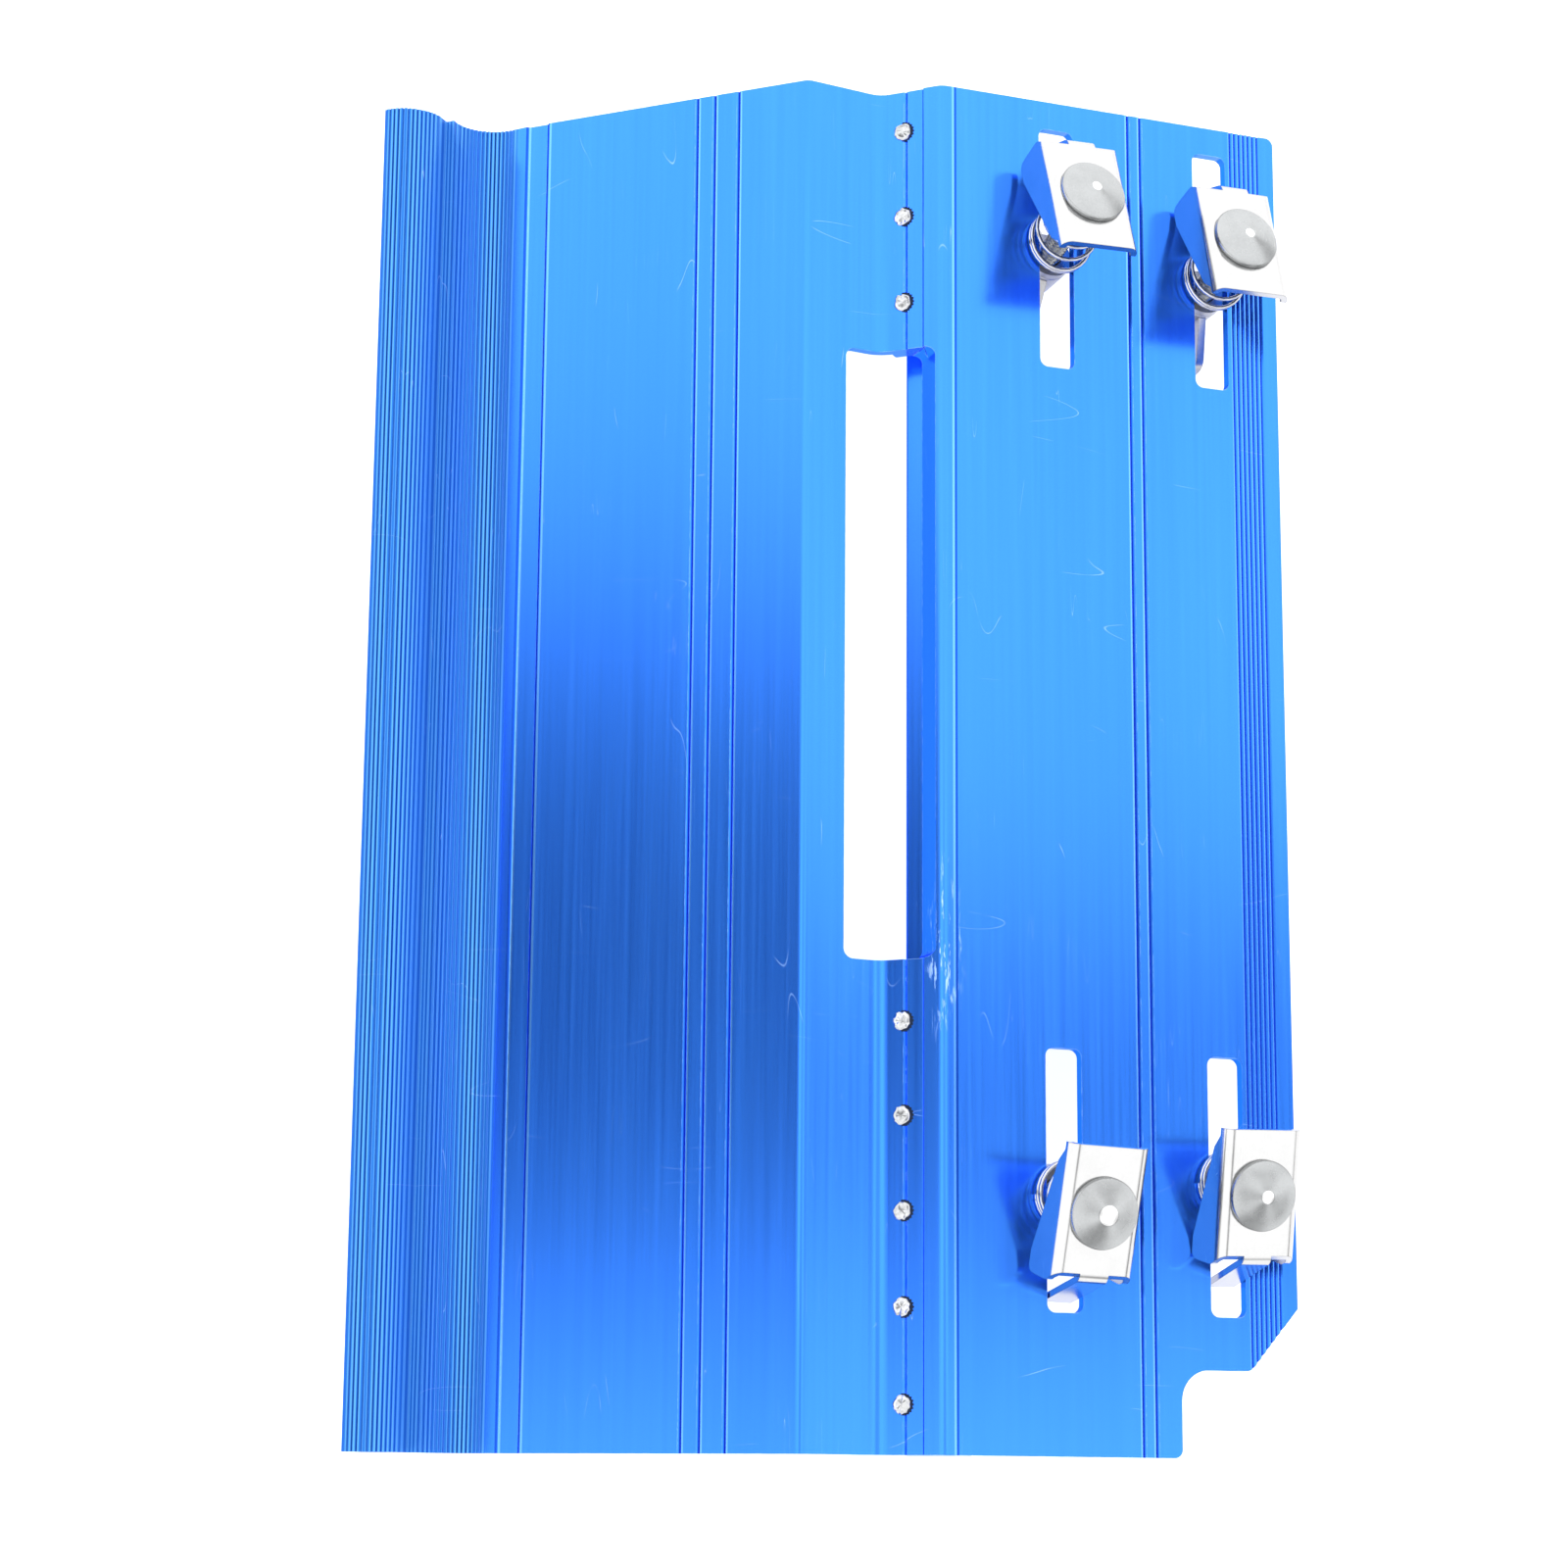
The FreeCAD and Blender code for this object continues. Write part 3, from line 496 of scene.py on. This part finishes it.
def on_strip(reach, angle):
    """Step of a length in the strip's face, at an angle from its slope."""
    return STRIP_UP * (reach * math.cos(angle)) + ALONG * (reach * math.sin(angle))


def rivet_verts(centre):
    """Rings of one rivet, with a rim that is uneven at the peened end."""
    wobble = [random.uniform(-1.0, 1.0) for side in range(RIVET_SIDES)]
    dents = [random.uniform(-1.0, 1.0) for side in range(RIVET_SIDES)]
    verts = []
    for radius, height, uneven in RIVET_PROFILE:
        for side, angle in enumerate(circle_angles(RIVET_SIDES)):
            reach = (radius + uneven * wobble[side] * 0.5) * MM
            lift = (height + uneven * dents[side] * 0.35) * MM
            verts.append(centre + on_strip(reach, angle) + STRIP_OUT * min(lift, PEEN_RISE))
    return verts


def shade_crescent_verts(centre):
    """Jagged painted shade beside one rivet's end, in pairs of inner and outer points."""
    verts = []
    for step in range(SHADE_POINTS):
        angle = math.radians(-95.0 + 190.0 * step / (SHADE_POINTS - 1))
        fade = math.cos(angle * 0.9) * (0.45 + 0.55 * (step % 2))
        for reach in (1.9 * MM, (2.30 + 0.75 * max(fade, 0.0)) * MM):
            verts.append(centre + on_strip(reach, angle) + STRIP_OUT * SHADE_LIFT * MM)
    return verts


def rivet_row():
    """Peened rivets: uneven flat ends, shanks and domed heads, and a jagged painted shade beside each."""
    verts = []
    faces = []
    shade_points = []
    shade_faces = []
    for centre in rivet_centres():
        first = len(verts)
        verts += rivet_verts(centre)
        for face in lathe_grid(len(RIVET_PROFILE), RIVET_SIDES):
            faces.append(tuple(first + index for index in reversed(face)))
        first = len(shade_points)
        shade_points += shade_crescent_verts(centre)
        for step in range(SHADE_POINTS - 1):
            low = first + 2 * step
            shade_faces.append((low, low + 1, low + 3, low + 2))
    row = mesh_object("rivet_row", verts, faces)
    row.data.set_sharp_from_angle(angle=math.radians(10))
    row.data.materials.append(PEENED)
    # A dark sheet on the strip's face, as painted shade beside each rivet.
    shade_piece = mesh_object("rivet_painted_shade", shade_points, shade_faces, smooth=False)
    shade_piece.data.materials.append(SHADE)
    for piece in (row, shade_piece):
        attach(piece, "base")
    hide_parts("rivets")


rivet_row()

# ---------------------------------------------------------------- bolts

BOLT_SIDES = 64
BOLT_RADIUS = 2.95 * MM
BOLT_LENGTH = 35.0 * MM
HEAD_RADIUS = 8.1 * MM
HEAD_RIM = 1.3 * MM
HEAD_RISE = 3.0 * MM
NECK_HALF = 3.0 * MM
NECK_CORNER = 4.0 * MM
NECK_DEPTH = 2.4 * MM
THREAD_START = -2.7 * MM
THREAD_DEPTH = 0.56 * MM
THREAD_PITCH = 1.0 * MM
RINGS_PER_TURN = 10
TIP_CHAMFER = 0.7 * MM
# Radius of the flat on top of each head, in mm; the flat carries a painted highlight.
FLAT = {"far_inner": 1.2, "far_outer": 1.2, "near_inner": 2.25, "near_outer": 1.5}


def clamp_axes(clamp):
    """Pivot, bolt direction, outward and across directions of a clamp at rest."""
    tilt = JOINTS["tilt_" + clamp]
    press = JOINTS["press_" + clamp]
    pivot = Vector(tilt["pos_m"])
    up = -Vector(press["axis"]).normalized()
    across = Vector(tilt["axis"]).normalized()
    outward = up.cross(across).normalized()
    return pivot, up, outward, across


def face_height(clamp):
    """Height of the plate's face over the pivot, from the bolt's own box."""
    pivot, up = clamp_axes(clamp)[:2]
    mesh = frame["nodes"]["clamp_bolt_" + clamp].data
    return max((vertex.co - pivot).dot(up) for vertex in mesh.vertices) - HEAD_RISE


def head_profile(tip):
    """(radius, height) of the low conical head, from its middle down to its seat."""
    return (
        (0.0001 * MM, HEAD_RISE), (tip, HEAD_RISE), (tip + 0.35 * MM, HEAD_RISE - 0.12 * MM),
        (5.2 * MM, HEAD_RISE - 0.85 * MM), (7.5 * MM, HEAD_RIM + 0.12 * MM),
        (HEAD_RADIUS - 0.15 * MM, HEAD_RIM - 0.05 * MM), (HEAD_RADIUS, HEAD_RIM - 0.35 * MM),
        (HEAD_RADIUS, 0.3 * MM), (HEAD_RADIUS - 0.3 * MM, 0.0), (4.1 * MM, 0.0),
    )


def head_rings(tip):
    angles = circle_angles(BOLT_SIDES)
    return [
        [(radius * math.cos(angle), radius * math.sin(angle), height) for angle in angles]
        for radius, height in head_profile(tip)
    ]


def neck_rings():
    """Square neck with clipped corners."""
    rings = []
    for height in (0.0, -NECK_DEPTH):
        ring = []
        for angle in circle_angles(BOLT_SIDES):
            reach = NECK_HALF / max(abs(math.cos(angle)), abs(math.sin(angle)))
            reach = min(reach, NECK_CORNER)
            ring.append((reach * math.cos(angle), reach * math.sin(angle), height))
        rings.append(ring)
    return rings


def thread_rings():
    """Rolled helical thread, chamfered at the bolt's end."""
    rings = []
    steps = int((BOLT_LENGTH + THREAD_START) / THREAD_PITCH * RINGS_PER_TURN)
    for step in range(steps + 1):
        height = THREAD_START - step * THREAD_PITCH / RINGS_PER_TURN
        chamfer = max(0.0, TIP_CHAMFER - (BOLT_LENGTH + height))
        ring = []
        for side, angle in enumerate(circle_angles(BOLT_SIDES)):
            phase = (step / RINGS_PER_TURN + side / BOLT_SIDES) % 1.0
            tooth = abs(2.0 * phase - 1.0)
            depth = THREAD_DEPTH * min(max(tooth * 1.3 - 0.15, 0.0), 1.0)
            radius = BOLT_RADIUS - max(depth, chamfer)
            ring.append((radius * math.cos(angle), radius * math.sin(angle), height))
        rings.append(ring)
    return rings


def bolt_piece(clamp):
    """Carriage bolt with a low conical head, a square neck and a rolled thread."""
    pivot, up, outward, across = clamp_axes(clamp)
    seat = pivot + up * face_height(clamp)
    turn = Matrix((across, outward, up)).transposed()
    rings = head_rings(FLAT[clamp] * MM) + neck_rings() + thread_rings()
    verts = [seat + turn @ Vector(place) for ring in rings for place in ring]
    faces = [tuple(reversed(face)) for face in lathe_grid(len(rings), BOLT_SIDES)]
    piece = mesh_object("bolt_" + clamp, verts, faces)
    piece.data.materials.append(PLATED_HEAD_PAINTED_SHADE)
    piece.data.materials.append(TIP_PAINTED_HIGHLIGHT)
    # The flat top of each head takes the painted highlight.
    for face in piece.data.polygons:
        if face.normal.dot(up) > 0.999:
            face.material_index = 1
    piece.data.set_sharp_from_angle(angle=math.radians(32))
    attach(piece, "grip_" + clamp)
    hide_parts("clamp_bolt_" + clamp)


# ---------------------------------------------------------------- springs

SPRING_WIRE = 0.50 * MM      # radius of the wire
SPRING_BASE = 7.5 * MM
SPRING_TOP = 7.0 * MM
SPRING_TURNS = 6.5
CLOSED_TURNS = 1.8
END_TURNS = 0.7
COIL_STACK = 2.04            # rise of a closed turn, in wire radii
POINTS_PER_TURN = 28
DECK_GAP = 0.15 * MM
PLATE_THICKNESS = 1.5 * MM
PLATE_GAP = 0.2 * MM


def spring_piece(clamp):
    """Compression spring, closed on the deck and open up to the plate, leaning with the bolt."""
    pivot, up, outward = clamp_axes(clamp)[:3]
    seat = pivot + up * (HALF_WALL / up.dot(DECK_OUT))
    top = pivot + up * (face_height(clamp) - PLATE_THICKNESS - SPRING_WIRE - PLATE_GAP)
    low = seat + DECK_OUT * (SPRING_WIRE + DECK_GAP)
    deck_out = (outward - DECK_OUT * outward.dot(DECK_OUT)).normalized()
    deck_across = deck_out.cross(DECK_OUT)
    open_turns = SPRING_TURNS - CLOSED_TURNS - END_TURNS
    points = []
    for index in range(int(SPRING_TURNS * POINTS_PER_TURN) + 1):
        run = index / POINTS_PER_TURN
        open_run = min(max((run - CLOSED_TURNS) / open_turns, 0.0), 1.0)
        blend = open_run * open_run * (3.0 - 2.0 * open_run)
        stack = DECK_OUT * (min(run, CLOSED_TURNS) * COIL_STACK * SPRING_WIRE)
        centre = (low + stack) * (1.0 - open_run) + top * open_run
        radius = SPRING_BASE * (1.0 - blend) + SPRING_TOP * blend
        first = (deck_across * (1.0 - blend) + deck_out.cross(up) * blend).normalized()
        normal = (DECK_OUT * (1.0 - blend) + up * blend).normalized()
        second = normal.cross(first).normalized()
        angle = 2.0 * math.pi * run
        points.append(centre + (first * math.cos(angle) + second * math.sin(angle)) * radius)
    piece = tube("spring_" + clamp, points, SPRING_WIRE)
    piece.data.materials.append(SPRING_STEEL)
    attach(piece, "carriage_" + clamp)
    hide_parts("clamp_spring_" + clamp)
    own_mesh(piece)


for clamp in CLAMP_NAMES:
    bolt_piece(clamp)
    spring_piece(clamp)

# ---------------------------------------------------------------- floor, light and camera

# Soft dark flags round a white studio: direction, reach and how much light each takes away.
FLAGS = (
    ((-0.75, 0.150, 0.64), (0.60, 0.150, 0.60), 1.00),
    ((0.73, 0.112, 0.67), (0.45, 0.072, 0.45), 0.96),
    ((0.15, 0.05, 1.0), (0.30, 0.22, 0.30), 0.45),
    ((0.92, -0.42, 0.22), (0.34, 0.36, 0.26), 0.75),
    ((0.50, -0.78, 0.50), (0.50, 0.28, 0.50), 0.75),
    ((0.42, -0.34, 0.88), (0.24, 0.26, 0.30), 0.70),
    ((0.92, 0.38, 0.10), (0.30, 0.34, 0.30), 0.60),
)
STUDIO_LEVEL = 2.1
FLOOR_GLOW = 0.85        # keeps the floor white through the slots
FLOOR_GAP = 0.5 * MM
WHITE = (1.0, 1.0, 1.0, 1)
CAMERA_PLACE = (0.0074, -0.1709, 0.8298)
CAMERA_TURN = (math.radians(11.707), math.radians(1.191), math.radians(0.447))
CAMERA_LENS = 79.92
CAMERA_SENSOR = 36.0


def pale_floor():
    floor_level = CAD_BOX[0][2] - FLOOR_GAP
    bpy.ops.mesh.primitive_plane_add(size=6.0, location=(0, 0, floor_level))
    floor = bpy.context.object
    floor.name = "floor"
    shader = Shader("pale_floor")
    tone = shader.mix(shader.noise(30.0, 2.0), (0.54, 0.54, 0.54, 1), (0.57, 0.57, 0.57, 1))
    shader.link(tone, shader.surface.inputs["Base Color"])
    shader.surface.inputs["Roughness"].default_value = 0.9
    shader.surface.inputs["Emission Color"].default_value = WHITE
    shader.surface.inputs["Emission Strength"].default_value = FLOOR_GLOW
    floor.data.materials.append(shader.material)


def white_world():
    """White all round, with a soft dark flag at each place that the metal reflects dark."""
    world = bpy.data.worlds.new("studio")
    world.use_nodes = True
    nodes = Nodes(world.node_tree)
    facing = nodes.add("ShaderNodeTexCoord").outputs["Generated"]
    light = None
    for centre, reach, share in FLAGS:
        away = nodes.ellipsoid(facing, centre, reach)
        kept = nodes.ramp(away, SOFT_START, 1.0, 1.0 - share, 1.0, curve="SMOOTHSTEP")
        light = kept if light is None else nodes.times(light, kept)
    background = world.node_tree.nodes["Background"]
    nodes.link(nodes.times(light, STUDIO_LEVEL), background.inputs["Strength"])
    background.inputs["Color"].default_value = WHITE
    bpy.context.scene.world = world


def camera():
    data = bpy.data.cameras.new("camera")
    data.lens = CAMERA_LENS
    data.sensor_width = CAMERA_SENSOR
    data.clip_start = 0.05
    seen_from = bpy.data.objects.new("camera", data)
    seen_from.location = CAMERA_PLACE
    seen_from.rotation_euler = Euler(CAMERA_TURN, "XYZ")
    bpy.context.scene.collection.objects.link(seen_from)
    bpy.context.scene.camera = seen_from


pale_floor()
white_world()
camera()
bpy.context.scene.view_settings.view_transform = "Standard"
